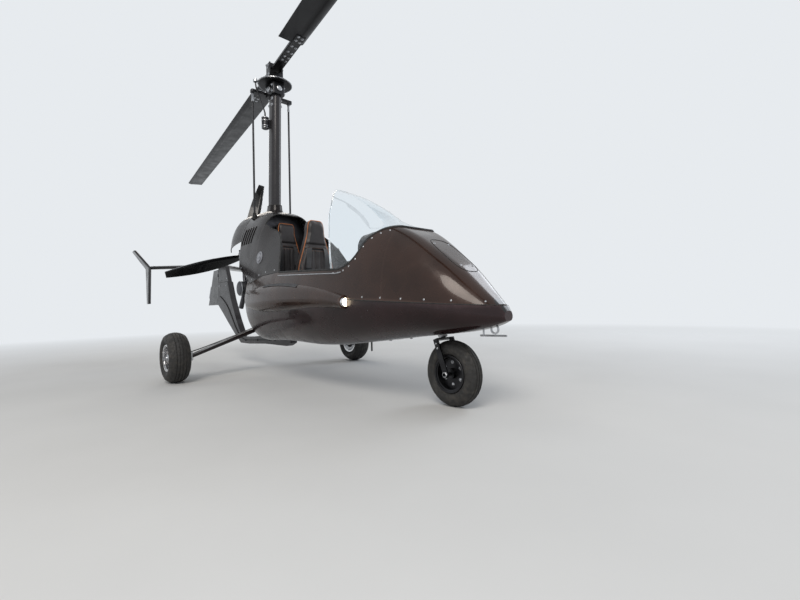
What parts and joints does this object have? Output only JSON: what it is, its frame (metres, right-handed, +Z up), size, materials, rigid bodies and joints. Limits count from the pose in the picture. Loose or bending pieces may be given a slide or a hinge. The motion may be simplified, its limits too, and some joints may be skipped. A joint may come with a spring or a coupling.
{
  "type": "gyrocopter",
  "caption": "Open tandem gyrocopter with a raked windscreen, teetering rotor, pusher propeller, tricycle gear and a finned tail.",
  "frame": {"origin": "on the ground, straight below the rotor hub", "axes": "+X forward, +Y to port, +Z up"},
  "size_m": [8.3462, 1.9162, 2.861],
  "materials": {
    "paint_upper": "gloss, clear coated composite",
    "paint_lower": "gloss, clear coated composite",
    "paint_dark": "gloss",
    "gear_paint": "satin composite",
    "matt_black": "textured",
    "seat_leather": "black, stitched",
    "clear_glazing": "clear, pale blue",
    "bright_steel": "machined",
    "engine_metal": "cast and machined",
    "rotor_black": "satin",
    "prop_black": "carbon composite",
    "tyre": "worn tread",
    "lamp": "lit lamp"
  },
  "bodies": {
    "airframe": {"antenna": "matt_black", "control_rods": "bright_steel", "end_fin_left": "paint_dark", "end_fin_right": "paint_dark", "engine_block": "engine_metal", "engine_cowl": "paint_dark", "engine_mount": "bright_steel", "firewall": "matt_black", "front_seat_back": "seat_leather", "front_seat_base": "matt_black", "front_seat_cushion": "seat_leather", "gear_leg_left": "gear_paint", "gear_leg_right": "gear_paint", "glareshield": "matt_black", "hull_lower": "paint_lower", "hull_upper": "paint_upper", "landing_light_left": "lamp", "landing_light_right": "lamp", "main_axle_left": "bright_steel", "main_axle_right": "bright_steel", "mast": "paint_dark", "pitot_tube": "bright_steel", "rear_seat_back": "seat_leather", "rear_seat_base": "matt_black", "rear_seat_cushion": "seat_leather", "rotor_head": "bright_steel", "side_pod_left": "paint_upper", "side_pod_right": "paint_upper", "stabiliser": "paint_dark", "steering_head": "bright_steel", "tail_boom": "paint_dark", "tail_fin": "paint_dark", "windscreen": "clear_glazing"},
    "nose_fork": {"nose_fork": "bright_steel"},
    "nose_wheel": {"nose_rim": "engine_metal", "nose_tyre": "tyre"},
    "main_wheel_left": {"main_rim_left": "engine_metal", "main_tyre_left": "tyre"},
    "main_wheel_right": {"main_rim_right": "engine_metal", "main_tyre_right": "tyre"},
    "propeller": {"prop_blade_1": "prop_black", "prop_blade_2": "prop_black", "prop_blade_3": "prop_black", "prop_hub": "engine_metal"},
    "rotor_shaft": {"rotor_tower": "bright_steel"},
    "rotor": {"hub_bar": "engine_metal", "rotor_blade_aft": "rotor_black", "rotor_blade_fore": "rotor_black"},
    "rudder": {"rudder": "paint_dark"}
  },
  "joints": [
    {"name": "nose_steer", "type": "hinge", "parent": "airframe", "child": "nose_fork", "pos_m": [2.117, 0, 0.184], "axis": [-0.342, 0, 0.9397], "range_deg": [-28, 28]},
    {"name": "nose_wheel_spin", "type": "hinge", "parent": "nose_fork", "child": "nose_wheel", "pos_m": [2.117, 0, 0.184], "axis": [0, 1, 0], "continuous": true},
    {"name": "main_wheel_left_spin", "type": "hinge", "parent": "airframe", "child": "main_wheel_left", "pos_m": [-0.06, 0.878, 0.201], "axis": [0, 1, 0], "continuous": true},
    {"name": "main_wheel_right_spin", "type": "hinge", "parent": "airframe", "child": "main_wheel_right", "pos_m": [-0.06, -0.878, 0.201], "axis": [0, 1, 0], "continuous": true},
    {"name": "propeller_spin", "type": "hinge", "parent": "airframe", "child": "propeller", "pos_m": [-0.765, 0, 1.15], "axis": [1, 0, 0], "continuous": true},
    {"name": "rotor_spin", "type": "hinge", "parent": "airframe", "child": "rotor_shaft", "pos_m": [0, 0, 2.807], "axis": [0, 0, 1], "continuous": true},
    {"name": "rotor_teeter", "type": "hinge", "parent": "rotor_shaft", "child": "rotor", "pos_m": [0, 0, 2.839], "axis": [-0.1063, -0.9943, 0], "range_deg": [-8, 8]},
    {"name": "rudder_hinge", "type": "hinge", "parent": "airframe", "child": "rudder", "pos_m": [-1.585, 0, 0.85], "axis": [0, 0, 1], "range_deg": [-25, 25]}
  ]
}
